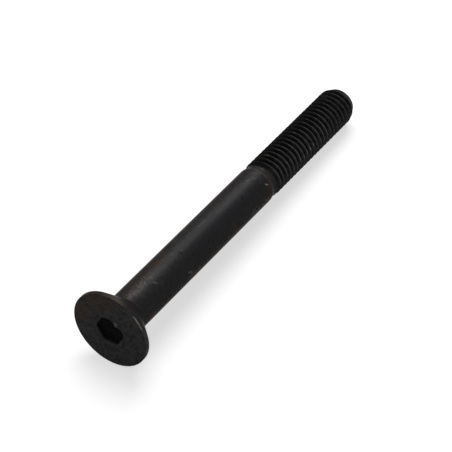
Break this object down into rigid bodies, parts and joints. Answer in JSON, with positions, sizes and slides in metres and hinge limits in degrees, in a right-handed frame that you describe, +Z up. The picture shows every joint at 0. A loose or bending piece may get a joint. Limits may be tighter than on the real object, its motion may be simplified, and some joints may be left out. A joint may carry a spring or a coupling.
{
  "type": "countersunk socket screw",
  "caption": "Long countersunk screw with a flat conical head, a hexagon socket, a plain shank and a rolled thread at its end, in worn black-oxide steel.",
  "frame": {"origin": "on the floor that the screw lies on, under the middle of its length", "axes": "+X along the screw from the head to the point, +Z up; the screw's own axis dips 2.97 degrees towards the point"},
  "size_m": [0.0804, 0.0158, 0.0159],
  "materials": {
    "blackened_steel": "worn black oxide with a trace of brown rust, satin"
  },
  "bodies": {
    "root": {"screw": "blackened_steel"}
  },
  "joints": []
}
